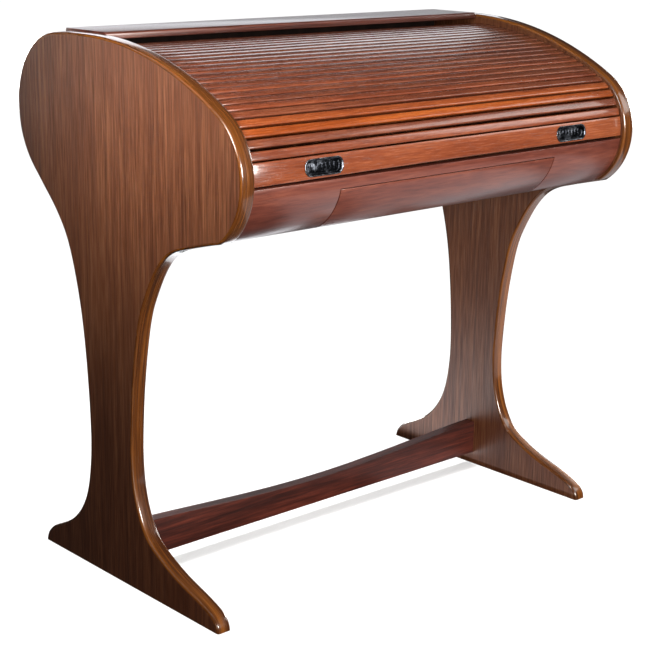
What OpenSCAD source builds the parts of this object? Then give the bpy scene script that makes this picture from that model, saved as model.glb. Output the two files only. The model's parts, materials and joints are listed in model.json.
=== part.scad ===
// Roll top desk: two shaped end panels, a curved fascia with a drawer, and a slatted tambour lid.
// X runs across the desk, -Y is the front, Z is up from the floor.

/* [Overall] */
// Overall width across both end panels
desk_w = 965; // [780:5:1200]
// Thickness of each end panel
panel_t = 28; // [20:1:36]
// Height of the top edge of the end panels
desk_h = 969; // [800:1:1200]

/* [End panels] */
// Width of the solid lipping around the veneered core
lip_w = 7; // [5:1:14]

/* [Tambour] */
// Thickness of a slat
slat_t = 9; // [7:0.5:11]
// Slat pitch along the canvas line at the slats' backs
slat_pitch = 17.8; // [12:0.1:22]
// Gap between neighbouring slats
slat_gap = 3.2; // [1:0.1:5]
// Number of slats behind the lead rail
slat_count = 24; // [12:1:28]
// Length along the canvas line taken by the lead rail
lead_pitch = 38; // [36:1:50]
// Gap between the lead rail and the first slat, which is fixed to it
lead_gap = 0.8; // [0.5:0.1:1.5]
// Length along the canvas line taken by the first slat, which is a little wider
first_pitch = 18.5; // [12:0.1:24]
// Clearance between a slat's end and the end panel
end_gap = 1; // [0.5:0.5:3]

/* [Case] */
// Thickness of the writing top and the bottom board
board_t = 12; // [9:1:15]
// Thickness of the curved fascia
fascia_t = 22; // [16:1:24]
// Thickness of the back panel
back_t = 9; // [6:1:12]
// Thickness of the top rail
rail_t = 12; // [8:1:16]

/* [Drawer] */
// Width of the drawer front
drawer_w = 530; // [400:10:620]
// Depth of the drawer box, measured from the nose
drawer_depth = 290; // [200:5:300]
// Gap around the drawer front
drawer_gap = 1.5; // [1:0.5:3]
// Thickness of the drawer's sides and back
drawer_side_t = 11; // [8:1:14]
// Thickness of the drawer bottom
drawer_bottom_t = 5; // [4:1:6]

/* [Pulls] */
// Length of each recessed pull
pull_l = 82; // [60:1:100]
// Height of each recessed pull
pull_h = 29; // [22:1:30]
// Distance from the middle of the desk to a pull
pull_x = 306; // [200:1:380]

/* [Stretcher] */
// Thickness of the stretcher
stretcher_t = 24; // [18:1:30]
// Height of the stretcher at its ends
stretcher_h = 70; // [55:1:88]
// How far the top of the stretcher dips in the middle
stretcher_dip = 20; // [0:1:28]
// Diameter of the stretcher's dowels
dowel_d = 10; // [8:1:12]

/* [Organiser] */
// Depth of the pigeonholes
organiser_depth = 95; // [60:1:110]
// Height of the pigeonholes
organiser_h = 92; // [60:1:110]
// Thickness of the organiser's boards
organiser_t = 7; // [5:1:10]
// Number of pigeonholes
organiser_bays = 5; // [3:1:7]

/* [Hidden] */
$fn = 96;
eps = 0.01;
lift = desk_h - 969;                 // change of height, taken up in the legs
inner_x = desk_w / 2 - panel_t;      // inner face of an end panel
nose_r = 120;                        // rounded nose of an end panel
nose_y = -200;                       // centre of the nose circle
nose_z = desk_h - 199;
crown_r = 708;                       // large curve of the end panel's top edge
crown_slope = 30;                    // slope where the nose meets the crown
nose_under = 57;                     // how far the nose runs round below its centre
crown_y = nose_y - nose_r * sin(crown_slope) + crown_r * sin(crown_slope);
rear_top_y = 150;                    // end of the level stretch of the top edge

// heights in the two curves are those of a desk with its top edge at 969
// rear edge of an end panel: bulge, waist and heel, from the top down to the floor
rear_curve = [
    [215, 963], [262, 943], [299, 905], [317.5, 860], [319.4, 826], [313, 782], [290, 738],
    [248, 695], [205, 652], [172, 604], [148, 535], [131, 455], [120, 355], [115.5, 262], [119, 200],
    [131, 144], [152, 104], [182, 73], [219, 51], [250, 36], [270, 18], [277, 0]
];
// front edge of an end panel: toe, instep, leg and belly, from the floor up to the nose
front_curve = [
    [-256, 0], [-252, 14], [-236, 29], [-201, 43], [-144, 61], [-95.5, 82], [-57.5, 107], [-34, 144],
    [-20, 190], [-15, 240], [-16, 290], [-23, 372], [-34, 445], [-48, 505], [-66.5, 547], [-90.5, 588],
    [-116.5, 618], [-145.5, 636], [-188, 649], [-232, 661]
];
curve_steps = 4;

// tambour path, along the canvas line at the slats' backs
track_c = [-195, nose_z];            // centre of the nose arc
track_face_r = nose_r - 3;           // radius of the slat faces round the nose
fascia_top_z = nose_z - 11.5;
lead_clear = 2.5;                    // gap between the closed lead rail and the fascia
track_start = -asin((nose_z - fascia_top_z - lead_clear) / track_face_r);
track_slope = 26;                    // slope where the nose arc meets the crown arc
track_crown_r = 767 - slat_t;
track_crown_end = 3;                 // slope where the crown arc turns down behind the rail
track_rear_r = 121;
track_nose_r = track_face_r - slat_t;
track_crown_c = track_c + (track_crown_r - track_nose_r) * [sin(track_slope), -cos(track_slope)];
track_rear_c = track_crown_c + (track_crown_r - track_rear_r) * [-sin(track_crown_end), cos(track_crown_end)];
nose_len = track_nose_r * (90 - track_slope - track_start) * PI / 180;
crown_len = track_crown_r * (track_slope - track_crown_end) * PI / 180;
tambour_l = 2 * (inner_x - end_gap);

bottom_z = nose_z - 102;             // underside of the bottom board
case_front_y = -242;                 // front edge of the bottom board
fascia_r = track_face_r;
writing_z = nose_z - 13;             // writing surface
rail_front_y = 75;
rail_back_y = 200;
rail_z = desk_h - 9;                 // underside of the top rail
opening_top_z = nose_z - 29.5;       // top of the drawer's opening in the fascia
drawer_top_z = opening_top_z - drawer_gap;
drawer_back_y = track_c[0] - fascia_r + drawer_depth;
drawer_front_t = 20;
guide_t = 16;
wear_t = 3;
drawer_box_w = drawer_w - 26;
drawer_box_z0 = bottom_z + board_t + wear_t + 0.3;
drawer_box_h = 53;
stretcher_y = 34;
stretcher_z = 26;
dowel_depth = 14;                    // dowel length inside an end panel
dowel_grip = 24;                     // dowel length inside the stretcher
inner_back_y = 100;
inner_back_t = 6;
inner_back_top = nose_z + 126;
pull_r = pull_h * 0.45;              // rounded ends of a pull
pull_depth = 5.5;
pull_wall = 1.2;
pull_lip = 2.6;
pull_proud = 1.2;
block_s = 22;                        // glue block
screw_d = 7;

function slat_name(i) = str("tambour_slat_", i < 10 ? "0" : "", i);

// ---- curves ----
// point of a smooth curve through four neighbouring points, at t between the middle two
function smooth(a, b, c, d, t) =
    0.5 * (2 * b + (c - a) * t + (2 * a - 5 * b + 4 * c - d) * t * t + (3 * b - a - 3 * c + d) * t * t * t);
function curve(p) = [for (i = [0:len(p) - 2]) for (k = [0:curve_steps - 1])
    smooth(p[max(i - 1, 0)], p[i], p[i + 1], p[min(i + 2, len(p) - 1)], k / curve_steps)];
function arc(c, r, a0, a1, n) = [for (k = [0:n]) let (a = a0 + (a1 - a0) * k / n) c + r * [cos(a), sin(a)]];

// stretches the legs so that everything above them moves by the change of height
function raised(p) = [for (q = p) [q[0], q[1] + lift * min(max((q[1] - 150) / 450, 0), 1)]];
function panel_outline() = concat(
    curve(concat(raised(front_curve), [[nose_y, nose_z] + nose_r * [-cos(nose_under), -sin(nose_under)]])),
    arc([nose_y, nose_z], nose_r, 180 + nose_under, 90 + crown_slope, 22),
    arc([crown_y, desk_h - crown_r], crown_r, 90 + crown_slope - 2, 90, 16),
    curve(concat([[rear_top_y, desk_h]], raised(rear_curve))),
    [rear_curve[len(rear_curve) - 1]]
);
// the outline moved inwards by the width of the lipping, from the toe round to the heel
function core_outline() = let (p = panel_outline(), n = len(p)) concat(
    [[p[0][0] + lip_w, 0]],
    [for (i = [1:n - 2]) let (t = p[i + 1] - p[i - 1], q = p[i] + lip_w * [t[1], -t[0]] / norm(t))
        if (q[1] > 2) q],
    [[p[n - 1][0] - lip_w, 0]]
);
function reversed(p) = [for (i = [len(p) - 1:-1:0]) p[i]];

// ---- tambour path ----
function path_heading(s) =
    s < nose_len ? 90 - track_start - s / track_nose_r * 180 / PI
    : s < nose_len + crown_len ? track_slope - (s - nose_len) / track_crown_r * 180 / PI
    : track_crown_end - (s - nose_len - crown_len) / track_rear_r * 180 / PI;
function path_point(s) =
    let (h = path_heading(s), n = [-sin(h), cos(h)])
    s < nose_len ? track_c + track_nose_r * n
    : s < nose_len + crown_len ? track_crown_c + track_crown_r * n
    : track_rear_c + track_rear_r * n;
function slat_start(i) = 0.5 + (i > 0 ? lead_pitch : 0) + (i > 1 ? first_pitch + (i - 2) * slat_pitch : 0);
function slat_width(i) = i == 0 ? lead_pitch - lead_gap : (i == 1 ? first_pitch : slat_pitch) - slat_gap;

// a board standing across the desk: its section is drawn in Y and Z
module across(x0, x1) {
    translate([x0, 0, 0]) rotate([90, 0, 90]) linear_extrude(x1 - x0) children();
}
// a box between two corners
module between(a, b) {
    translate(a) cube(b - a);
}
// places a slat's section, drawn along and outwards from the canvas line
module on_path(i) {
    a = path_point(slat_start(i));
    b = path_point(slat_start(i) + slat_width(i));
    d = b - a;
    translate((a + b) / 2) rotate(atan2(d[1], d[0])) children();
}
// an upright disc of the nose circle, as a section in Y and Z
module nose_disc(r) {
    translate(track_c) circle(r);
}

// ---- end panels ----
module panel_core(side) {
    x = side < 0 ? -desk_w / 2 : inner_x;
    difference() {
        across(x, x + panel_t) polygon(core_outline());
        dowel_holes(side);
    }
}
module panel_lipping(side) {
    x = side < 0 ? -desk_w / 2 : inner_x;
    across(x, x + panel_t) polygon(concat(panel_outline(), reversed(core_outline())));
}
module dowel_holes(side) {
    for (z = dowel_heights())
        translate([side * (inner_x - dowel_grip), stretcher_y + stretcher_t / 2, z])
            rotate([0, side * 90, 0]) cylinder(d = dowel_d, h = dowel_grip + dowel_depth);
}
function dowel_heights() = [stretcher_z + stretcher_h * 0.28, stretcher_z + stretcher_h * 0.72];

module end_panel_left() { color("#7a5238") panel_core(-1); }
module end_panel_right() { color("#7a5238") panel_core(1); }
module edge_lipping_left() { color("#8a5a30") panel_lipping(-1); }
module edge_lipping_right() { color("#8a5a30") panel_lipping(1); }

// ---- case ----
module top_rail() {
    ease = 2.5;
    color("#6b3a2a") across(-inner_x, inner_x) polygon([
        [rail_front_y, rail_z], [rail_back_y, rail_z], [rail_back_y, rail_z + rail_t - ease],
        [rail_back_y - ease, rail_z + rail_t], [rail_front_y + ease, rail_z + rail_t],
        [rail_front_y, rail_z + rail_t - ease]
    ]);
}
module back_panel() {
    color("#6b4630") between([-inner_x, rail_back_y - back_t, bottom_z], [inner_x, rail_back_y, rail_z]);
}
// countersunk screw heads along the top and bottom of the back
module back_panel_screws() {
    color("#b59a5a") for (x = [-3:3], z = [bottom_z + board_t / 2, rail_z - 14])
        translate([x * inner_x / 3.4, rail_back_y, z]) rotate([-90, 0, 0]) cylinder(d = screw_d, h = 1);
}
module bottom_board() {
    color("#5a3a28") between([-inner_x, case_front_y + 1, bottom_z],
        [inner_x, rail_back_y - back_t, bottom_z + board_t]);
}
module bottom_board_screws() {
    color("#b59a5a") for (x = [-1, 1], y = [-200, -100, 0, 100, 170])
        translate([x * (inner_x - 14), y, bottom_z - 1]) cylinder(d = screw_d, h = 1);
}
module fascia_section(t, z1) {
    difference() {
        intersection() {
            nose_disc(fascia_r);
            translate([-400, bottom_z]) square([400 + case_front_y, z1 - bottom_z]);
        }
        nose_disc(fascia_r - t);
    }
}
module front_fascia() {
    color("#6e3b2e") difference() {
        across(-inner_x, inner_x) fascia_section(fascia_t, fascia_top_z);
        between([-drawer_w / 2 - drawer_gap, -400, 0], [drawer_w / 2 + drawer_gap, 0, opening_top_z]);
    }
}
module writing_top() {
    color("#7a4a30") across(-inner_x, inner_x) intersection() {
        translate([-400, writing_z - board_t]) square([400 + inner_back_y, board_t]);
        union() {
            nose_disc(fascia_r - fascia_t);
            translate([track_c[0], 0]) square([500, 2 * desk_h]);
        }
    }
}
module inner_back() {
    color("#7a4a30") between([-inner_x, inner_back_y, writing_z - board_t],
        [inner_x, inner_back_y + inner_back_t, inner_back_top]);
}

// ---- pigeonholes ----
module organiser_top() {
    color("#84543a") between([-inner_x, inner_back_y - organiser_depth, writing_z + organiser_h - organiser_t],
        [inner_x, inner_back_y, writing_z + organiser_h]);
}
module organiser_board(x) {
    between([x, inner_back_y - organiser_depth + 4, writing_z],
        [x + organiser_t, inner_back_y, writing_z + organiser_h - organiser_t]);
}
module organiser_ends() {
    color("#84543a") for (x = [-inner_x, inner_x - organiser_t]) organiser_board(x);
}
module organiser_dividers() {
    color("#84543a") for (i = [1:organiser_bays - 1])
        organiser_board(-inner_x + i * (2 * inner_x - organiser_t) / organiser_bays);
}

// ---- hidden case work ----
module glue_blocks() {
    color("#a98a60") for (side = [-1, 1], y = [-180, -60, 60])
        across(side * inner_x - (side > 0 ? block_s : 0), side * inner_x + (side > 0 ? 0 : block_s))
            polygon([[y, writing_z - board_t], [y + 40, writing_z - board_t],
                [y + 40, writing_z - board_t - block_s], [y, writing_z - board_t - block_s]]);
}
module drawer_guide(side) {
    x = drawer_box_w / 2 + 1;
    x0 = side < 0 ? -x - guide_t : x;
    color("#a98a60") between([x0, case_front_y + 3, bottom_z + board_t],
        [x0 + guide_t, drawer_back_y + 10, writing_z - board_t]);
}
module drawer_guide_left() { drawer_guide(-1); }
module drawer_guide_right() { drawer_guide(1); }
module drawer_wear_strips() {
    color("#c0a070") for (side = [-1, 1])
        translate([side * (drawer_box_w / 2 - drawer_side_t / 2) - drawer_side_t / 2,
                case_front_y + 3, bottom_z + board_t])
            cube([drawer_side_t, drawer_back_y - case_front_y, wear_t]);
}

// ---- stretcher ----
module stretcher() {
    n = 24;
    l = 2 * inner_x;
    color("#5e2c22") difference() {
        translate([0, stretcher_y + stretcher_t, stretcher_z]) rotate([90, 0, 0]) linear_extrude(stretcher_t)
            polygon(concat([[-l / 2, 0], [l / 2, 0]], [for (k = [0:n]) let (x = l / 2 - l * k / n)
                [x, stretcher_h - stretcher_dip * pow(cos(180 * x / l), 1.4)]]));
        for (side = [-1, 1]) dowel_holes(side);
    }
}
module stretcher_dowels() {
    color("#c0a070") for (side = [-1, 1]) dowel_holes(side);
}

// ---- drawer ----
module drawer_front() {
    color("#6e3b2e") across(-drawer_w / 2, drawer_w / 2) intersection() {
        fascia_section(drawer_front_t, drawer_top_z);
        translate([-400, 0]) square([399 + case_front_y, 2 * desk_h]);
    }
}
// section of a drawer side: its front end follows the curve of the drawer front
module drawer_side_section() {
    intersection() {
        translate([-400, drawer_box_z0]) square([400 + drawer_back_y - drawer_side_t, drawer_box_h]);
        union() {
            nose_disc(fascia_r - drawer_front_t);
            translate([track_c[0], 0]) square([500, 2 * desk_h]);
        }
    }
}
module drawer_side(side) {
    x = side < 0 ? -drawer_box_w / 2 : drawer_box_w / 2 - drawer_side_t;
    color("#b08a5c") across(x, x + drawer_side_t) drawer_side_section();
}
module drawer_side_left() { drawer_side(-1); }
module drawer_side_right() { drawer_side(1); }
module drawer_back() {
    color("#b08a5c") between([-drawer_box_w / 2, drawer_back_y - drawer_side_t, drawer_box_z0],
        [drawer_box_w / 2, drawer_back_y, drawer_box_z0 + drawer_box_h]);
}
module drawer_bottom() {
    x = drawer_box_w / 2 - drawer_side_t;
    color("#c8a878") across(-x, x) intersection() {
        drawer_side_section();
        translate([-400, drawer_box_z0 + 3]) square([900, drawer_bottom_t]);
    }
}

// ---- tambour ----
module round_rect(l, h, t, r) {
    translate([-l / 2 + r, -h / 2, 0]) cube([l - 2 * r, h, t]);
    translate([-l / 2, -h / 2 + r, 0]) cube([l, h - 2 * r, t]);
    for (x = [-1, 1], y = [-1, 1])
        translate([x * (l / 2 - r), y * (h / 2 - r), 0]) cylinder(r = r, h = t, $fn = 48);
}
// places a pull's shape on the lead rail's face: X along the rail, Z outwards
module on_lead_rail(x) {
    a = path_point(slat_start(0));
    b = path_point(slat_start(0) + slat_width(0));
    d = b - a;
    n = [-d[1], d[0]] / norm(d);
    m = (a + b) / 2 + n * slat_t;
    translate([x, m[0], m[1]]) rotate([atan2(d[1], d[0]), 0, 0]) children();
}
module lead_rail() {
    w = slat_width(0);
    crown = 1.4;
    color("#8a4526") difference() {
        across(-tambour_l / 2, tambour_l / 2) on_path(0) polygon(concat([[-w / 2, 0], [w / 2, 0]],
            [for (k = [0:8]) let (u = 1 - k / 4) [u * w / 2, slat_t + crown * (1 - u * u)]]));
        for (side = [-1, 1]) on_lead_rail(side * pull_x) translate([0, 0, -pull_depth])
            round_rect(pull_l - 2 * pull_lip, pull_h - 2 * pull_lip, pull_depth + 5, pull_r - pull_lip);
    }
}
// section of a slat: square sides and eased front arrises
module slat(i) {
    w = slat_width(i);
    ease = 1.6;
    color(i % 2 == 0 ? "#8a4526" : "#94502c") across(-tambour_l / 2, tambour_l / 2) on_path(i) polygon([
        [-w / 2, 0], [w / 2, 0], [w / 2, slat_t - ease], [w / 2 - ease, slat_t],
        [-w / 2 + ease, slat_t], [-w / 2, slat_t - ease]
    ]);
}
// recessed oblong cup with a thin rim that stands proud of the lead rail
module pull(side) {
    rim_z = 1.4;
    color("#26262a") on_lead_rail(side * pull_x) difference() {
        union() {
            translate([0, 0, rim_z]) round_rect(pull_l, pull_h, pull_proud, pull_r);
            translate([0, 0, -pull_depth + eps])
                round_rect(pull_l - 2 * pull_lip, pull_h - 2 * pull_lip, pull_depth + rim_z, pull_r - pull_lip);
        }
        translate([0, 0, -pull_depth + pull_wall])
            round_rect(pull_l - 2 * pull_lip - 2 * pull_wall, pull_h - 2 * pull_lip - 2 * pull_wall, 20,
                pull_r - pull_lip - pull_wall);
    }
}
module pull_left() { pull(-1); }
module pull_right() { pull(1); }

end_panel_left();
end_panel_right();
edge_lipping_left();
edge_lipping_right();
top_rail();
back_panel();
back_panel_screws();
bottom_board();
bottom_board_screws();
front_fascia();
writing_top();
inner_back();
organiser_top();
organiser_ends();
organiser_dividers();
glue_blocks();
drawer_guide_left();
drawer_guide_right();
drawer_wear_strips();
stretcher();
stretcher_dowels();
drawer_front();
drawer_side_left();
drawer_side_right();
drawer_back();
drawer_bottom();
lead_rail();
pull_left();
pull_right();
for (i = [1:slat_count]) slat(i);
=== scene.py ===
# Roll top desk: veneered end panels with rounded lippings, a curved fascia with a drawer,
# a slatted tambour lid with recessed pulls, and a low stretcher.
import json
import math
import random

import bpy
from mathutils import Euler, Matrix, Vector
from mathutils.kdtree import KDTree


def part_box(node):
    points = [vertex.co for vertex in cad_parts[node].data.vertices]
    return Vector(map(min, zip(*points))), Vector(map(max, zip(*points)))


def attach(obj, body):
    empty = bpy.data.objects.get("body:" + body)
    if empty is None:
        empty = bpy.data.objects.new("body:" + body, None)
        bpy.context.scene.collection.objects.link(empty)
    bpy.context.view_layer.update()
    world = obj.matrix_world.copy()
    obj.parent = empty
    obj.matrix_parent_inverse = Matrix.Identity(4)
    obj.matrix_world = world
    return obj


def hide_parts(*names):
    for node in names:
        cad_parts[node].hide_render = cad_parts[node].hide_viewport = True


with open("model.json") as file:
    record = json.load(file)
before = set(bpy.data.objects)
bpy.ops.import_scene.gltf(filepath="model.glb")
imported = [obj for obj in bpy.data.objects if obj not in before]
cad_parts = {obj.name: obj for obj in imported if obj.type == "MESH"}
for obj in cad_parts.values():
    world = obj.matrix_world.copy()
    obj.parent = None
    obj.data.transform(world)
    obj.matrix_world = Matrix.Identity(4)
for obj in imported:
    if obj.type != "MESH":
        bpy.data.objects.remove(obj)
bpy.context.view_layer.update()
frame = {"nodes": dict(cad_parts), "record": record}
nodes = frame["nodes"]
dice = random.Random(19)
mm = 0.001


# camera, lights, floor and world
studio = {
    "cameraAt": (-1.9399, -2.1269, 1.1887),
    "cameraTurn": (74.69, -42.085, 0.75),     # tilt, heading and roll, degrees
    "lens": 85.75,
    "sensor": 36,
    "seesTo": 200,
    "floorHalf": 40.0,
    "floorDrop": 0.0005,         # the floor lies just clear of the feet
    "floorTone": 0.24,
    "floorRough": 0.7,
    "floorShine": 0.1,
    "floorGlow": 0.47,
    "sunPower": 7.8,
    "sunWidth": 14,              # degrees across, which softens its shadow
    "sunTilt": -12,
    "worldAmbient": 0.06,
    "worldGloss": 0.03,          # what reflections see of the world
}

cameraData = bpy.data.cameras.new("camera")
cameraData.lens = studio["lens"]
cameraData.sensor_width = studio["sensor"]
cameraData.clip_end = studio["seesTo"]
camera = bpy.data.objects.new("camera", cameraData)
bpy.context.scene.collection.objects.link(camera)
tilt, heading, roll = (math.radians(a) for a in studio["cameraTurn"])
turn = Euler((0, 0, heading)).to_matrix() @ Euler((tilt, 0, 0)).to_matrix()
turn = turn @ Euler((0, 0, roll)).to_matrix()
camera.location = studio["cameraAt"]
camera.rotation_euler = turn.to_euler()
bpy.context.scene.camera = camera
bpy.context.scene.view_settings.view_transform = "Standard"


def areaLight(name, at, aim, size, power, colour=(1, 1, 1), spread=180):
    light = bpy.data.lights.new(name, "AREA")
    light.shape = "RECTANGLE"
    light.size, light.size_y = size
    light.energy = power
    light.color = colour
    light.spread = math.radians(spread)
    lamp = bpy.data.objects.new(name, light)
    lamp.location = at
    lamp.visible_camera = False
    lamp.rotation_euler = (Vector(aim) - Vector(at)).to_track_quat("-Z", "Y").to_euler()
    bpy.context.scene.collection.objects.link(lamp)


# big soft lights, and low cards that give the lacquer its pale sheen: where each one
# stands, what it faces, its size, power and colour, and its spread if it is narrowed
lights = {
    "topSoftbox": ((-0.5, -0.9, 2.7), (0.1, -0.1, 0.85), (2.0, 1.2), 3, (1, 0.98, 0.95)),
    "frontSoftbox": ((-0.2, -3.0, 1.3), (0.1, -0.2, 0.75), (1.6, 0.8), 48, (1, 0.97, 0.93), 90),
    "sideSoftbox": ((-1.15, -0.28, 1.24), (-0.48, -0.13, 0.88), (0.6, 0.4), 2.5, (1, 0.97, 0.94), 52),
    "arrisStrip": ((-1.45, 0.1, 2.1), (-0.48, -0.1, 0.9), (2.4, 0.2), 5, (1, 0.99, 0.97)),
    "rearCard": ((-2.4, 2.9, 0.75), (-0.4, 0.0, 0.85), (1.2, 0.6), 0.42, (1, 0.99, 0.98), 60),
    "footCard": ((-0.95, -0.5, 0.14), (-0.48, -0.1, 0.05), (0.3, 0.2), 0.22, (1, 0.82, 0.66), 90),
    "backdropCard": ((1.6, 2.6, 1.75), (0.0, 0.0, 0.95), (2.6, 1.0), 6.5, (0.93, 0.95, 1.0), 120),
    "rightSoftbox": ((2.2, -1.6, 1.9), (0.3, -0.1, 0.8), (1.0, 1.0), 3, (1, 0.98, 0.95), 100),
    "rearSoftbox": ((0.2, 2.8, 0.95), (0.0, 0.3, 0.7), (1.6, 0.9), 14, (1, 0.98, 0.95), 54),
    "farSideSoftbox": ((2.5, 0.15, 0.95), (0.48, 0.0, 0.62), (1.0, 0.8), 10, (1, 0.98, 0.95), 60),
    "underCard": ((0.08, 0.42, 0.01), (0.08, 0.421, 1.0), (0.7, 0.75), 4.0, (0.93, 0.96, 1.0)),
    "floorCard": ((0.85, -0.65, 0.01), (0.85, -0.649, 1.0), (1.3, 1.7), 4.6, (0.93, 0.95, 1.0)),
}
for lightName, lightRow in lights.items():
    areaLight(lightName, *lightRow)


class Shade:
    # one value in a material; sums and products on it add the nodes
    def __init__(self, tree, socket=None):
        self.tree = tree
        self.socket = socket

    def make(self, kind, settings=None, sockets=None, out=0):
        node = self.tree.nodes.new("ShaderNode" + kind)
        for name, value in (settings or {}).items():
            if name == "stops":
                ramp = node.color_ramp
                while len(ramp.elements) < len(value):
                    ramp.elements.new(0.5)
                for stop, (at, colour) in zip(ramp.elements, value):
                    stop.position = at
                    stop.color = (*colour, 1)
            else:
                setattr(node, name, value)
        for name, value in (sockets or {}).items():
            if isinstance(value, Shade):
                self.tree.links.new(value.socket, node.inputs[name])
            else:
                node.inputs[name].default_value = value
        return Shade(self.tree, node.outputs[out])

    def maths(self, operation, first, second):
        return self.make("Math", {"operation": operation}, {0: first, 1: second})

    def __add__(self, other): return self.maths("ADD", self, other)
    def __radd__(self, other): return self.maths("ADD", other, self)
    def __sub__(self, other): return self.maths("SUBTRACT", self, other)
    def __rsub__(self, other): return self.maths("SUBTRACT", other, self)
    def __mul__(self, other): return self.maths("MULTIPLY", self, other)
    def __rmul__(self, other): return self.maths("MULTIPLY", other, self)

    def clamped(self):
        return self.make("Clamp", {}, {0: self})

    def size(self):
        return self.make("Math", {"operation": "ABSOLUTE"}, {0: self})

    def band(self, low, high):
        return self.make("MapRange", {"interpolation_type": "SMOOTHSTEP"}, {0: self, 1: low, 2: high})

    def mix(self, first, second):
        def filled(c): return (*c, 1) if isinstance(c, tuple) else c
        return self.make("Mix", {"data_type": "RGBA"}, {0: self, 6: filled(first), 7: filled(second)}, 2)

    def times(self, vector):
        return self.make("VectorMath", {"operation": "MULTIPLY"}, {0: self, 1: vector})

    def plus(self, vector):
        return self.make("VectorMath", {"operation": "ADD"}, {0: self, 1: vector})

    def noise(self, scale, detail, rough, out=0):
        return self.make("TexNoise", {}, {"Vector": self, "Scale": scale, "Detail": detail,
                                          "Roughness": rough}, out)


def rgb(red, green, blue):
    # a display colour as the shader's linear one
    def linear(v):
        v /= 255
        return v / 12.92 if v <= 0.04045 else ((v + 0.055) / 1.055) ** 2.4
    return (linear(red), linear(green), linear(blue))


def newMaterial(name):
    material = bpy.data.materials.new(name)
    material.use_nodes = True
    tree = material.node_tree
    shader = tree.nodes["Principled BSDF"]
    return material, Shade(tree), shader


def plug(shade, shader, socket):
    shade.tree.links.new(shade.socket, shader.inputs[socket])


def grainStretch(along, stretch):
    return tuple(1 / stretch if axis == along else 1.0 for axis in "XYZ")


def woodMaterial(name, along, look):
    material, start, shader = newMaterial(name)
    place = start.make("TexCoord", {}, {}, 3)
    if look["toned"]:
        shift = start.make("Attribute", {"attribute_name": "tone"}, {}, 0)
        place = place.plus(shift.times(look["toneShift"]))
        tone = start.make("Attribute", {"attribute_name": "tone"}, {}, 2)
    if look["follows"]:
        run = start.make("Attribute", {"attribute_name": "run"}, {}, 2)
        level = place.make("SeparateXYZ", {}, {0: place}, 0)
        place = run.make("CombineXYZ", {}, {0: level, 1: 0.3, 2: run})
    sway = place.times(grainStretch(along, look["swayStretch"])).noise(look["swayScale"], 2, 0.5, 1)
    bent = place.plus(sway.plus((-0.5, -0.5, -0.5)).times((look["sway"],) * 3))
    flow = bent.times(grainStretch(along, look["stretch"]))
    bands = flow.noise(look["bandScale"], 2.5, 0.5)
    streaks = flow.noise(look["streakScale"], 4, 0.62)
    patches = place.times(grainStretch(along, look["patchStretch"])).noise(look["patchScale"], 2, 0.5)
    pores = bent.times(grainStretch(along, look["poreStretch"])).noise(look["poreScale"], 2, 0.5)
    pores = pores.band(look["poreFrom"], look["poreFull"])
    figure = bands * look["bandShare"] + streaks * look["streakShare"] + patches * look["patchShare"]
    lines = 1 - (flow.noise(look["lineScale"], 2, 0.5) - 0.5).size().band(0.0, look["lineWidth"])
    spread = figure.band(look["low"], look["high"])
    base = spread.make("ValToRGB", {"stops": look["colours"]}, {0: spread})
    # painted light: the tone multiplies a blue-grey into the upper slats, standing in for their grey sheen and
    # shade
    if look["toned"]:
        tint = tone.make("ValToRGB", {"stops": look["tonesAndPaintedLight"]}, {0: tone})
        base = start.make("Mix", {"data_type": "RGBA", "blend_type": "MULTIPLY"},
                          {0: 1.0, 6: base, 7: tint}, 2)
    dark = base.times(look["poreTint"])
    colour = (pores * look["poreDepth"] + lines * look["lineDepth"]).clamped().mix(base, dark)
    if look["toned"]:
        # painted shade: the sides of each slat are darkened towards near black by how far they lie below its
        # face, standing in for the shade in the gaps
        grime = start.make("Attribute", {"attribute_name": "grime"}, {}, 2)
        colour = (grime * look["grime"]).mix(colour, colour.times(look["gapShadeTint"]))
    plug(colour, shader, "Base Color")
    rough = look["rough"] + (streaks - 0.5) * look["roughSpread"] + pores * look["poreRough"]
    plug(rough.clamped(), shader, "Roughness")
    height = streaks * look["streakRelief"] - pores * look["poreRelief"]
    height = height + place.noise(look["waveScale"], 2, 0.5) * look["waves"]
    bump = start.make("Bump", {}, {"Strength": look["bump"], "Distance": look["relief"], "Height": height})
    plug(bump, shader, "Normal")
    if look["coatSpread"]:
        plug((look["coat"] + (streaks - 0.5) * look["coatSpread"]).clamped(), shader, "Coat Weight")
    else:
        shader.inputs["Coat Weight"].default_value = look["coat"]
    shader.inputs["Coat Roughness"].default_value = look["coatRough"]
    shader.inputs["Specular IOR Level"].default_value = look["specular"]
    return material


# a plain straight-grained wood; each wood below changes some of it
woodBase = {
    "toned": False, "follows": False,           # takes a tone from its piece, which carries painted sheen and shade, and paints shade into its gaps; grain runs with the outline
    "sway": 0.012, "swayScale": 7, "swayStretch": 6, "stretch": 40,
    "bandScale": 60, "streakScale": 330, "patchScale": 5, "patchStretch": 3,
    "bandShare": 0.45, "streakShare": 0.40, "patchShare": 0.15, "low": 0.34, "high": 0.66,
    "poreScale": 900, "poreStretch": 45, "poreFrom": 0.57, "poreFull": 0.72, "poreDepth": 0.5,
    "poreTint": (0.42, 0.38, 0.36), "lineScale": 30, "lineWidth": 0.02, "lineDepth": 0.25,
    "rough": 0.36, "roughSpread": 0.15, "poreRough": 0.08, "specular": 0.5,
    "bump": 0.25, "relief": 0.0006, "streakRelief": 0.6, "poreRelief": 0.8, "waveScale": 14, "waves": 0.0,
    "coat": 0.25, "coatSpread": 0.0, "coatRough": 0.18,
}
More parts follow.
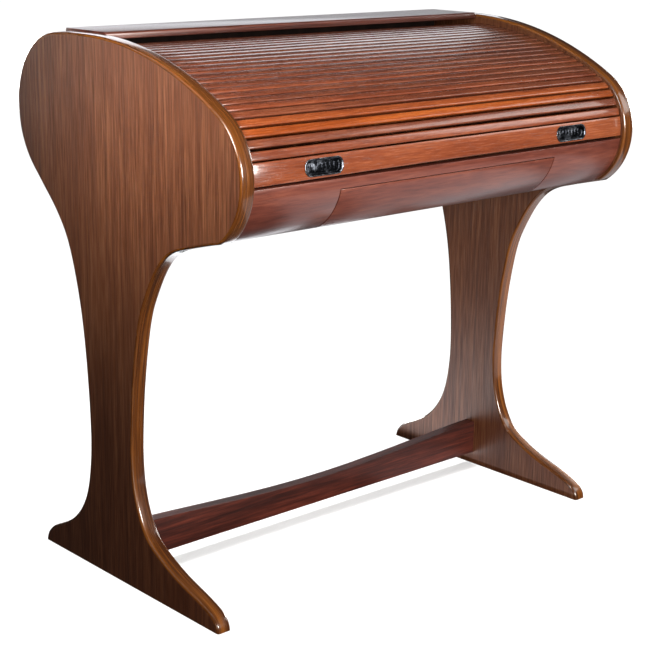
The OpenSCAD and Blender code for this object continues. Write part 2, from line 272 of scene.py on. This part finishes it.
looks = {
    "panelVeneer": {**woodBase,
                    "colours": [(0.0, rgb(66, 32, 16)), (0.5, rgb(95, 54, 32)), (1.0, rgb(124, 80, 52))],
                    "bandScale": 130, "streakScale": 560, "patchScale": 11,
                    "bandShare": 0.36, "streakShare": 0.48,
                    "low": 0.30, "high": 0.70, "sway": 0.006, "rough": 0.38, "coat": 0.22, "coatSpread": 1.2,
                    "coatRough": 0.3, "lineDepth": 0.3, "specular": 0.3},
    "lippingWood": {**woodBase, "follows": True,
                    "colours": [(0.0, rgb(54, 26, 10)), (0.5, rgb(90, 49, 16)), (1.0, rgb(130, 76, 27))],
                    "rough": 0.24, "coat": 0.75, "coatRough": 0.07, "poreDepth": 0.25, "bump": 0.08},
    "tambourWood": {**woodBase, "toned": True, "toneShift": (7.0, 5.0, 3.0),
                    "grime": 0.9, "gapShadeTint": (0.16, 0.12, 0.12),
                    "stretch": 16, "bandScale": 60, "streakScale": 420, "patchScale": 6,
                    "bandShare": 0.24, "streakShare": 0.44, "patchShare": 0.32, "low": 0.22, "high": 0.78,
                    "colours": [(0.0, rgb(104, 44, 28)), (0.5, rgb(156, 80, 50)), (1.0, rgb(194, 112, 72))],
                    # the low tones are a painted blue-grey: painted sheen and shade for the upper slats
                    "tonesAndPaintedLight": [(0.0, (0.17, 0.20, 0.27)), (0.35, (0.30, 0.33, 0.40)),
                              (0.7, (0.50, 0.50, 0.50)), (1.0, (0.68, 0.58, 0.26))],
                    "rough": 0.26, "coat": 0.7, "coatRough": 0.10, "waves": 0.5, "bump": 0.35},
    "fasciaWood": {**woodBase, "stretch": 12, "bandScale": 24, "streakScale": 260, "sway": 0.05,
                   "low": 0.2, "high": 0.8,
                   "colours": [(0.0, rgb(58, 25, 20)), (0.5, rgb(95, 47, 36)), (1.0, rgb(126, 70, 52))],
                   "rough": 0.32, "coat": 0.5, "coatRough": 0.22, "waves": 0.3, "bump": 0.12},
    "railWood": {**woodBase,
                 "colours": [(0.0, rgb(42, 18, 13)), (0.5, rgb(72, 34, 25)), (1.0, rgb(98, 52, 38))],
                 "rough": 0.30, "coat": 0.25, "coatRough": 0.14},
    "interiorWood": {**woodBase,
                     "colours": [(0.0, rgb(92, 54, 32)), (0.5, rgb(128, 80, 50)), (1.0, rgb(158, 106, 70))]},
    # painted shade: a near-black wood for the back panel's inner face, seen through the gap under the top rail
    "shadedWood": {**woodBase,
                   "colours": [(0.0, rgb(14, 8, 6)), (0.5, rgb(22, 13, 10)), (1.0, rgb(30, 19, 15))],
                   "rough": 0.8, "coat": 0.0, "specular": 0.1},
    "undersideWood": {**woodBase,
                      "colours": [(0.0, rgb(70, 44, 30)), (0.5, rgb(98, 66, 46)), (1.0, rgb(122, 86, 62))],
                      "rough": 0.6, "coat": 0.0},
    "stretcherWood": {**woodBase, "stretch": 26,
                      "colours": [(0.0, rgb(38, 13, 9)), (0.5, rgb(64, 25, 17)), (1.0, rgb(94, 41, 29))],
                      "rough": 0.50, "coat": 0.05, "specular": 0.25},
    "secondaryWood": {**woodBase,
                      "colours": [(0.0, rgb(176, 140, 98)), (0.5, rgb(200, 166, 122)),
                                  (1.0, rgb(218, 188, 146))],
                      "rough": 0.62, "coat": 0.0, "poreDepth": 0.3},
    "drawerWood": {**woodBase,
                   "colours": [(0.0, rgb(166, 122, 78)), (0.5, rgb(192, 148, 102)), (1.0, rgb(210, 172, 126))],
                   "rough": 0.5, "coat": 0.1, "poreDepth": 0.3},
}
woods = {}


def wood(look, along):
    key = look + along
    if key not in woods:
        woods[key] = woodMaterial(key, along, looks[look])
    return woods[key]


def metalMaterial(name, look):
    look = {**metalBase, **look}
    material, start, shader = newMaterial(name)
    place = start.make("TexCoord", {}, {}, 3)
    dents = place.make("TexVoronoi", {"feature": "SMOOTH_F1"},
                       {"Vector": place, "Scale": look["dentScale"], "Smoothness": look["dentSoft"]})
    worn = place.noise(look["wearScale"], 4, 0.6).band(look["wearFrom"], look["wearFull"])
    plug(worn.mix(look["colour"], look["bright"]), shader, "Base Color")
    plug(look["rough"] + worn * look["roughSpread"], shader, "Roughness")
    bump = start.make("Bump", {}, {"Strength": look["bump"], "Distance": look["relief"], "Height": dents})
    plug(bump, shader, "Normal")
    shader.inputs["Metallic"].default_value = 1.0
    return material


metalBase = {"dentSoft": 0.6, "wearFrom": 0.45, "wearFull": 0.7, "relief": 0.0012}
pewter = metalMaterial("hammeredPewter", {
    "dentScale": 260, "wearScale": 90, "colour": rgb(46, 48, 54), "bright": rgb(104, 108, 116),
    "rough": 0.26, "roughSpread": 0.16, "bump": 0.3})
wornPewter = metalMaterial("wornPewter", {
    "dentScale": 500, "wearScale": 60, "colour": rgb(120, 124, 132), "bright": rgb(190, 194, 202),
    "rough": 0.2, "roughSpread": 0.1, "bump": 0.1})
brass = metalMaterial("agedBrass", {
    "dentScale": 900, "wearScale": 160, "colour": rgb(150, 118, 62), "bright": rgb(196, 168, 104),
    "rough": 0.32, "roughSpread": 0.2, "bump": 0.1})


# the floor shows, and takes shadows, but lights nothing
bpy.ops.mesh.primitive_plane_add(size=2 * studio["floorHalf"], location=(0, 0, -studio["floorDrop"]))
floor = bpy.context.object
floor.name = "studioFloor"
floorMaterial, _, floorShader = newMaterial("studioFloor")
floorShader.inputs["Base Color"].default_value = (*[studio["floorTone"]] * 3, 1)
floorShader.inputs["Roughness"].default_value = studio["floorRough"]
floorShader.inputs["Specular IOR Level"].default_value = studio["floorShine"]
floorShader.inputs["Emission Color"].default_value = (1, 1, 1, 1)
floorShader.inputs["Emission Strength"].default_value = studio["floorGlow"]
floor.data.materials.append(floorMaterial)
floor.visible_diffuse = False
floor.visible_glossy = False

world = bpy.data.worlds.new("studioWorld")
bpy.context.scene.world = world
world.use_nodes = True
worldTree = world.node_tree
backdrop = worldTree.nodes["Background"]
sky = Shade(worldTree)
glossy = sky.make("LightPath", {}, {}, 3)
seen = sky.make("LightPath", {}, {}, 0)              # what the camera sees of the world is white
ambient = studio["worldAmbient"]
strength = ambient + glossy * (studio["worldGloss"] - ambient) + seen * (1 - ambient)
worldTree.links.new(strength.socket, backdrop.inputs["Strength"])
backdrop.inputs["Color"].default_value = (1, 1, 1, 1)
print("stage ready")


# how the CAD shapes are finished; angles in degrees
shaping = {"weld": 2e-5, "flat": 0.6, "arris": 40, "smooth": 35}


def deselectAll():
    bpy.ops.object.select_all(action="DESELECT")


def activate(piece):
    deselectAll()
    piece.select_set(True)
    bpy.context.view_layer.objects.active = piece


def paint(piece, material):
    piece.data.materials.clear()
    piece.data.materials.append(material)


def bodyOf(node):
    return next(body for body, names in frame["record"]["behaviour"]["bodies"].items() if node in names)


def copyOf(node, name):
    # a clean single-skinned copy of a CAD node
    source = nodes[node]
    piece = bpy.data.objects.new(name, source.data.copy())
    bpy.context.scene.collection.objects.link(piece)
    activate(piece)
    bpy.ops.object.mode_set(mode="EDIT")
    bpy.ops.mesh.select_all(action="SELECT")
    bpy.ops.mesh.remove_doubles(threshold=shaping["weld"])
    bpy.ops.mesh.dissolve_limited(angle_limit=math.radians(shaping["flat"]))
    bpy.ops.object.mode_set(mode="OBJECT")
    return piece


def addModifier(piece, kind, **settings):
    modifier = piece.modifiers.new(kind.lower(), kind)
    for name, value in settings.items():
        setattr(modifier, name, value)
    activate(piece)
    bpy.ops.object.modifier_apply(modifier=modifier.name)


def eased(piece, width, segments=2, angle=shaping["arris"]):
    # rounds every arris sharper than the angle
    addModifier(piece, "BEVEL", width=width * mm, segments=segments, limit_method="ANGLE",
                angle_limit=math.radians(angle))


def smooth(piece, angle=shaping["smooth"]):
    activate(piece)
    bpy.ops.object.shade_smooth_by_angle(angle=math.radians(angle))


def settle(piece, material, node):
    paint(piece, material)
    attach(piece, bodyOf(node))
    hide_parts(node)


def softened(node, look, along, slot, width, segments=2):
    # a board with its arrises eased
    piece = copyOf(node, node + "_finish")
    eased(piece, width, segments)
    smooth(piece)
    settle(piece, wood(look, along), node)
    return piece


def frontNormal(node):
    # the direction in which a tilted piece of the front faces
    faces = nodes[node].data.polygons
    near = [face for face in faces if face.normal.z > face.normal.y]
    for narrowing in range(5):
        facing = sum((face.normal * face.area for face in near), Vector()).normalized()
        near = [face for face in faces if face.normal.dot(facing) > 0.8]
    return facing


def pick(piece, kind, wanted):
    # selects the faces or edges that wanted says, in edit mode
    bpy.ops.object.mode_set(mode="EDIT")
    bpy.ops.mesh.select_all(action="DESELECT")
    bpy.ops.mesh.select_mode(type=kind)
    bpy.ops.object.mode_set(mode="OBJECT")
    for part in piece.data.polygons if kind == "FACE" else piece.data.edges:
        part.select = wanted(part)
    bpy.ops.object.mode_set(mode="EDIT")


def push(z):
    bpy.ops.mesh.extrude_region_move(TRANSFORM_OT_translate={"value": (0, 0, z * mm)})


def boxed(name, size, centre):
    deselectAll()
    bpy.ops.mesh.primitive_cube_add(size=1, location=centre)
    piece = bpy.context.object
    piece.name = name
    piece.scale = size
    bpy.ops.object.transform_apply(location=True, rotation=True, scale=True)
    return piece


# end panels and lippings
lipping = {"round": 4.6, "segments": 6, "flat": 0.999, "smooth": 40}


def outlineRun(mesh, outer):
    # length along the outline at each of its points, from the toe over the top to the heel
    middle = sum(v.co.x for v in mesh.vertices) / len(mesh.vertices)
    chain = {i for i, v in enumerate(mesh.vertices) if outer[i] and v.co.x > middle}
    links = {i: [] for i in chain}
    for edge in mesh.edges:
        a, b = edge.vertices
        if a in chain and b in chain:
            links[a].append(b)
            links[b].append(a)
    here = min((i for i in chain if mesh.vertices[i].co.z < 1e-4), key=lambda i: mesh.vertices[i].co.y)
    seen, length, points = set(), 0.0, []
    while here is not None:
        seen.add(here)
        spot = mesh.vertices[here].co
        points.append((0.0, spot.y, spot.z, length))
        onward = [i for i in links[here] if i not in seen]
        if onward:
            length += (mesh.vertices[onward[0]].co - spot).length
        here = onward[0] if onward else None
    return points


def roundedLipping(side):
    node = "edge_lipping_" + side
    inside = {tuple(round(c, 5) for c in v.co) for v in nodes["end_panel_" + side].data.vertices}
    piece = copyOf(node, node + "_finish")
    mesh = piece.data
    outer = [tuple(round(c, 5) for c in v.co) not in inside for v in mesh.vertices]
    points = outlineRun(mesh, outer)

    def onTheRim(edge):
        a, b = edge.vertices
        level = abs(mesh.vertices[a].co.x - mesh.vertices[b].co.x) < 1e-5
        return outer[a] and outer[b] and level

    activate(piece)
    pick(piece, "EDGE", onTheRim)
    bpy.ops.mesh.bevel(offset=lipping["round"] * mm, offset_type="OFFSET", segments=lipping["segments"],
                       profile=0.5, affect="EDGES", clamp_overlap=False)
    bpy.ops.object.mode_set(mode="OBJECT")
    tree = KDTree(len(points))
    for number, point in enumerate(points):
        tree.insert(point[:3], number)
    tree.balance()
    run = [points[tree.find((0.0, v.co.y, v.co.z))[1]][3] for v in mesh.vertices]
    mesh.attributes.new("run", "FLOAT", "POINT").data.foreach_set("value", run)
    smooth(piece, lipping["smooth"])
    settle(piece, wood("lippingWood", "Z"), node)
    mesh.materials.append(wood("panelVeneer", "Z"))          # the veneer runs over the flat of the lipping
    for face in mesh.polygons:
        face.material_index = 1 if abs(face.normal.x) > lipping["flat"] else 0


for side in ("left", "right"):
    paint(nodes["end_panel_" + side], wood("panelVeneer", "Z"))
    roundedLipping(side)
print("end panels ready")

# boards of the case and the drawer: wood, way of the grain, slot, how far the arrises are
# eased in mm, and the steps of their rounding if there are more than two
boards = {
    "top_rail": ("railWood", "X", "rail_wood", 1.2),
    "front_fascia": ("fasciaWood", "X", "fascia_wood", 0.8),
    "stretcher": ("stretcherWood", "X", "stretcher_wood", 3.0, 4),
    "writing_top": ("interiorWood", "X", "interior_wood", 0.7),
    "inner_back": ("interiorWood", "X", "interior_wood", 0.7),
    "organiser_top": ("interiorWood", "X", "interior_wood", 0.7),
    "organiser_ends": ("interiorWood", "Y", "interior_wood", 0.7),
    "organiser_dividers": ("interiorWood", "Y", "interior_wood", 0.7),
    "back_panel": ("panelVeneer", "Z", "panel_veneer", 0.6),
    "bottom_board": ("undersideWood", "X", "underside_wood", 0.6),
    "glue_blocks": ("secondaryWood", "Y", "secondary_wood", 0.8),
    "drawer_guide_left": ("secondaryWood", "Y", "secondary_wood", 0.8),
    "drawer_side_left": ("drawerWood", "Y", "drawer_box_wood", 0.8),
    "drawer_guide_right": ("secondaryWood", "Y", "secondary_wood", 0.8),
    "drawer_side_right": ("drawerWood", "Y", "drawer_box_wood", 0.8),
    "drawer_front": ("fasciaWood", "X", "fascia_wood", 1.0),
    "drawer_back": ("drawerWood", "X", "drawer_box_wood", 0.8),
    "drawer_bottom": ("drawerWood", "X", "drawer_box_wood", 0.5),
}
made = {node: softened(node, *row) for node, row in boards.items()}
paint(nodes["drawer_wear_strips"], wood("secondaryWood", "Y"))
paint(nodes["stretcher_dowels"], wood("secondaryWood", "X"))

backPanel = made["back_panel"].data
backPanel.materials.append(wood("shadedWood", "Z"))          # its inner face is painted near black: painted shade for the gap under the top rail
for face in backPanel.polygons:
    face.material_index = 1 if face.normal.y < -0.9 else 0

# a low sun lights only the floor, and only the stretcher stands in its way
sun = bpy.data.objects.new("shadowSun", bpy.data.lights.new("shadowSun", "SUN"))
sun.data.energy = studio["sunPower"]
sun.data.angle = math.radians(studio["sunWidth"])
sun.rotation_euler = (math.radians(studio["sunTilt"]), 0, 0)
bpy.context.scene.collection.objects.link(sun)
for role, thing in (("receiver", floor), ("blocker", made["stretcher"])):
    group = bpy.data.collections.new(role + "OfSun")
    group.objects.link(thing)
    setattr(sun.light_linking, role + "_collection", group)

# slotted screws, in mm; each step of the dome is how far in and how far up
screwShape = {"radius": 3.5, "high": 1.0, "dome": 0.45, "domeSteps": ((0.5, 0.25), (0.9, 0.14), (1.1, 0.06)),
              "slotWide": 0.9, "slotDeep": 0.6, "slotOver": 0.1, "apart": 12, "smooth": 30}


def slottedHead():
    # one slotted head, standing on the ground plane and facing up
    shape = screwShape
    straight = (shape["high"] - shape["dome"]) * mm
    deselectAll()
    bpy.ops.mesh.primitive_cylinder_add(vertices=32, radius=shape["radius"] * mm, depth=straight,
                                        location=(0, 0, straight / 2))
    head = bpy.context.object
    pick(head, "FACE", lambda face: face.normal.z > 0.9)
    for inwards, up in shape["domeSteps"]:
        bpy.ops.mesh.inset(thickness=inwards * mm, depth=up * mm)
    bpy.ops.object.mode_set(mode="OBJECT")
    cutter = boxed("cutter", (3 * shape["radius"] * mm, shape["slotWide"] * mm, shape["slotDeep"] * mm),
                   (0, 0, (shape["high"] + shape["slotOver"] - shape["slotDeep"] / 2) * mm))
    addModifier(head, "BOOLEAN", operation="DIFFERENCE", object=cutter, solver="EXACT")
    bpy.data.objects.remove(cutter)
    smooth(head, shape["smooth"])
    return head


def screwPlaces(node):
    # middle of each separate screw of a CAD node
    groups = []
    for v in nodes[node].data.vertices:
        near = next((g for g in groups if (g[0] - v.co).length < screwShape["apart"] * mm), None)
        if near is None:
            groups.append([v.co.copy()])
            near = groups[-1]
        near.append(v.co.copy())
    middles = []
    for group in groups:
        low = Vector(min(p[a] for p in group) for a in range(3))
        high = Vector(max(p[a] for p in group) for a in range(3))
        middles.append((low + high) / 2)
    return middles


def screws(node, tilt, out):
    head = slottedHead()
    copies = []
    for place in screwPlaces(node):
        one = head.copy()
        one.data = head.data.copy()
        bpy.context.scene.collection.objects.link(one)
        turn = Euler(tilt).to_matrix() @ Euler((0, 0, dice.uniform(0, math.pi))).to_matrix()
        one.rotation_euler = turn.to_euler()
        one.location = place - Vector(out) * screwShape["high"] * mm / 2
        copies.append(one)
    bpy.data.objects.remove(head)
    deselectAll()
    for one in copies:
        one.select_set(True)
    bpy.context.view_layer.objects.active = copies[0]
    bpy.ops.object.transform_apply(location=True, rotation=True, scale=True)
    bpy.ops.object.join()
    piece = bpy.context.object
    piece.name = node + "_finish"
    settle(piece, brass, node)


screws("back_panel_screws", (-math.pi / 2, 0, 0), (0, 1, 0))
screws("bottom_board_screws", (math.pi, 0, 0), (0, 0, -1))
print("case ready")

# tambour, in mm; tones run from the lowest slat to the last one. They differ slat to slat as the wood does,
# and their steady fall to a dark blue-grey towards the top is painted light, standing in for the grey sheen
# and shade on the upper slats
tambour = {
    "ease": 1.1,
    "cuts": 14,                # places where a slat may bend a little
    "wander": 0.45,            # how far a slat wanders from straight
    "hollow": 2.2,             # the lead rail's lower edge is planed hollow by this much
    "hollowAt": 0.10,          # where it is deepest, as a share of the width from the middle
    "hollowReach": 0.55,       # and how far from there it has run out
    "hollowBelow": 12,         # only what lies this far below the rail's middle is planed
    "gapShadeFrom": 1.6,          # painted shade darkens the slat sides from this far below the face
    "gapShadeOver": 1.5,
    "leadTone": 0.74,
    "toneSpread": 0.05,
    "tonesAndPaintedLight": [0.70, 0.52, 1.0, 0.86, 0.5, 0.74, 0.42, 0.50, 0.58, 0.42, 0.52, 0.40, 0.46,
              0.36, 0.38, 0.28, 0.34, 0.26, 0.30, 0.22, 0.27, 0.20, 0.24, 0.18],
}


def writeLayer(piece, name, values):
    piece.data.attributes.new(name, "FLOAT", "POINT").data.foreach_set("value", values)


def slat(node, tone, hollow=0.0):
    piece = copyOf(node, node + "_finish")
    low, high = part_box(node)
    outward = frontNormal(node)
    along = Vector((1, 0, 0)).cross(outward) * -1          # up the path of the lid
    middle = (Vector(low) + Vector(high)) / 2
    activate(piece)
    bpy.ops.object.mode_set(mode="EDIT")
    for cut in range(1, tambour["cuts"]):
        bpy.ops.mesh.select_all(action="SELECT")
        spot = low[0] + (high[0] - low[0]) * cut / tambour["cuts"]
        bpy.ops.mesh.bisect(plane_co=(spot, 0, 0), plane_no=(1, 0, 0))
    bpy.ops.object.mode_set(mode="OBJECT")
    phase, turns = dice.uniform(0, 6.3), dice.uniform(0.6, 1.6)
    for v in piece.data.vertices:
        u = v.co.x / (high[0] - low[0])
        shift = tambour["wander"] * math.sin(phase + turns * math.tau * u) * (1 - 4 * u * u)
        if hollow and (v.co - middle).dot(along) < -tambour["hollowBelow"] * mm:
            shift = hollow * max(0.0, 1 - ((u - tambour["hollowAt"]) / tambour["hollowReach"]) ** 2)
        elif hollow:
            shift = 0.0
        v.co += along * shift * mm
    eased(piece, tambour["ease"])
    smooth(piece)
    # how far each point lies below the face sets its painted shade, darkest in the gaps between slats
    reach = [v.co.dot(outward) for v in piece.data.vertices]
    below = [(max(reach) - r) / mm - tambour["gapShadeFrom"] for r in reach]
    writeLayer(piece, "tone", [tone] * len(reach))
    writeLayer(piece, "grime", [min(1.0, max(0.0, depth) / tambour["gapShadeOver"]) for depth in below])
    settle(piece, wood("tambourWood", "X"), node)


slatNodes = sorted(n for n in nodes if n.startswith("tambour_slat_"))
slat("lead_rail", tambour["leadTone"], tambour["hollow"])
for node, tone in zip(slatNodes, tambour["tonesAndPaintedLight"], strict=True):
    slat(node, min(1.0, max(0.0, tone + dice.uniform(-tambour["toneSpread"], tambour["toneSpread"]))))

# recessed pulls, in mm: a plate with a rim and a dished cup, and a row of ribs in the cup
pullShape = {
    "corner": 13.0, "cornerSteps": 12, "rim": 1.8, "proud": 1.2, "wall": 1.2,
    "dish": 2.0, "dishDeep": 1.3, "deep": 6.9, "plateIn": 2.4, "plateSlope": 0.4, "plateUp": 0.7,
    "ribs": 7, "ribGap": 8.6, "ribSize": (4.6, 12.5, 1.5), "ribLift": 0.3, "ribEase": 0.62,
    "edgeEase": 0.3, "edgeAngle": 38, "brightDeep": 0.35, "brightTilt": 0.2,
}


def cupPull(node):
    shape = pullShape
    low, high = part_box(node)
    outward = frontNormal(node)
    upward = Vector((1, 0, 0)).cross(outward) * -1
    spread = [v.co.dot(upward) for v in nodes[node].data.vertices]
    reach = max(v.co.dot(outward) for v in nodes[node].data.vertices)
    size = (high[0] - low[0], max(spread) - min(spread), shape["proud"] * mm)
    piece = boxed(node + "_finish", size, (0, 0, -size[2] / 2))

    def upright(edge):
        a, b = (piece.data.vertices[i].co for i in edge.vertices)
        return abs(a.z - b.z) > 1e-6

    pick(piece, "EDGE", upright)
    bpy.ops.mesh.bevel(offset=shape["corner"] * mm, offset_type="OFFSET", segments=shape["cornerSteps"],
                       affect="EDGES", clamp_overlap=False)
    bpy.ops.object.mode_set(mode="OBJECT")
    pick(piece, "FACE", lambda face: face.normal.z > 0.9)
    bpy.ops.mesh.inset(thickness=shape["rim"] * mm)
    bpy.ops.mesh.inset(thickness=shape["dish"] * mm, depth=-shape["dishDeep"] * mm)
    push(shape["dishDeep"] - shape["deep"])
    bpy.ops.mesh.inset(thickness=shape["plateIn"] * mm)
    bpy.ops.mesh.inset(thickness=shape["plateSlope"] * mm, depth=shape["plateUp"] * mm)
    bpy.ops.object.mode_set(mode="OBJECT")
    pick(piece, "FACE", lambda face: face.normal.z < -0.9)
    bpy.ops.mesh.inset(thickness=(shape["rim"] + shape["dish"] - shape["wall"]) * mm)
    push(shape["proud"] - shape["deep"] - shape["wall"])
    bpy.ops.object.mode_set(mode="OBJECT")
    floorAt = (shape["plateUp"] - shape["deep"]) * mm
    width, height, depth = (s * mm for s in shape["ribSize"])
    ribs = []
    for number in range(shape["ribs"]):
        x = (number - (shape["ribs"] - 1) / 2) * shape["ribGap"] * mm
        rib = boxed("rib", (width, height, depth), (x, 0, floorAt + depth * shape["ribLift"]))
        eased(rib, shape["ribEase"], 3)
        ribs.append(rib)
    deselectAll()
    for part in ribs + [piece]:
        part.select_set(True)
    bpy.context.view_layer.objects.active = piece
    bpy.ops.object.join()
    eased(piece, shape["edgeEase"], 2, shape["edgeAngle"])
    rim = [face.index for face in piece.data.polygons
           if face.center.z > -shape["brightDeep"] * mm and face.normal.z > shape["brightTilt"]]
    piece.rotation_euler = (math.atan2(-outward.y, outward.z), 0, 0)
    centre = outward * reach + upward * (max(spread) + min(spread)) / 2
    piece.location = ((low[0] + high[0]) / 2, centre.y, centre.z)
    bpy.ops.object.transform_apply(location=True, rotation=True, scale=True)
    smooth(piece)
    settle(piece, pewter, node)
    piece.data.materials.append(wornPewter)      # the rim is rubbed bright
    for index in rim:
        piece.data.polygons[index].material_index = 1


for side in ("left", "right"):
    cupPull("pull_" + side)
print("tambour ready")
